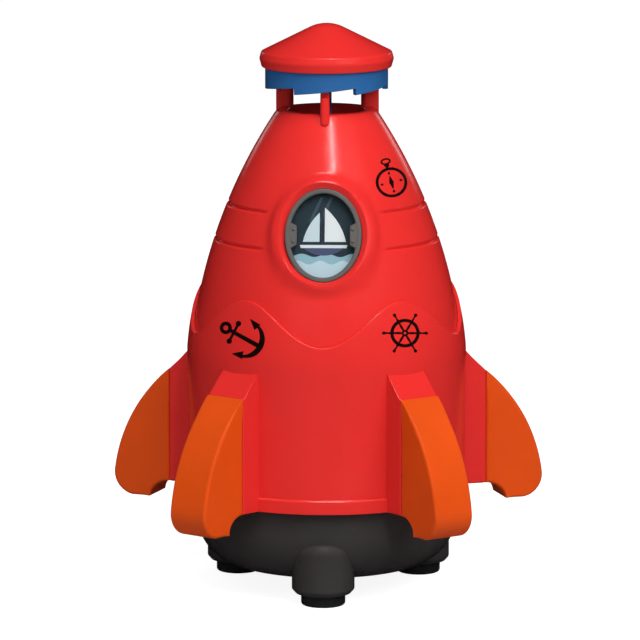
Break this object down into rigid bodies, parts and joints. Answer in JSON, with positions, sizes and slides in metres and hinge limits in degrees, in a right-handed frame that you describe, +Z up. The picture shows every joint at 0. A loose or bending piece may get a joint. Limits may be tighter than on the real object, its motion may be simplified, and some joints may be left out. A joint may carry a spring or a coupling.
{
  "type": "rocket water sprinkler toy",
  "caption": "Hose-fed garden toy: a finned red rocket with a round window that a water jet spins and lifts off a black legged base, under a capped blue rotor.",
  "frame": {"origin": "on the ground under the launch tube's axis, at the centre of the three feet", "axes": "+Z up along the spin axis; -Y is the side with the window, and the hose comes in from +Y"},
  "size_m": [0.181, 0.172, 0.2351],
  "materials": {
    "red_shell": "moulded, glossy",
    "black_base": "moulded, satin",
    "orange_fin": "moulded, soft matt",
    "blue_rotor": "moulded, satin",
    "grey_tube": "moulded, satin",
    "white_nylon": "turned nylon",
    "rubber_seal": "moulded rubber",
    "steel_screw": "plain stainless",
    "window_trim": "satin silver-grey",
    "clear_lens": "clear moulded",
    "picture_card": "printed picture, laminated"
  },
  "bodies": {
    "base": {"base_bowl": "black_base", "base_cover": "black_base", "cover_screws": "steel_screw", "water_manifold": "black_base", "manifold_screws": "steel_screw", "launch_tube": "grey_tube", "tube_seal": "rubber_seal", "nozzle_tip": "black_base", "inlet_spigot": "black_base", "inlet_seal": "rubber_seal", "inlet_filter": "steel_screw", "foot_pad_front": "rubber_seal", "foot_pad_right": "rubber_seal", "foot_pad_left": "rubber_seal"},
    "race": {"thrust_ring": "white_nylon"},
    "rocket": {"nose_shell": "red_shell", "skirt_shell": "red_shell", "guide_tube": "grey_tube", "body_screws": "steel_screw", "fin_rear": "orange_fin", "fin_left": "orange_fin", "fin_front_left": "orange_fin", "fin_front_right": "orange_fin", "fin_right": "orange_fin", "fin_screws": "steel_screw", "window_bezel": "window_trim", "window_rivets": "window_trim", "window_lens": "clear_lens", "window_picture": "picture_card", "window_retainer": "grey_tube", "axle_bracket": "red_shell"},
    "head": {"rotor": "blue_rotor", "rotor_clip": "steel_screw", "cap": "red_shell", "cap_screws": "steel_screw"}
  },
  "joints": [
    {"name": "rocket_spin", "type": "hinge", "parent": "base", "child": "race", "pos_m": [0, 0, 0.06], "axis": [0, 0, 1], "continuous": true},
    {"name": "rocket_lift", "type": "slide", "parent": "race", "child": "rocket", "axis": [0, 0, 1], "range_m": [0, 0.13]},
    {"name": "rotor_spin", "type": "hinge", "parent": "rocket", "child": "head", "pos_m": [0, 0, 0.211], "axis": [0, 0, 1], "continuous": true}
  ]
}
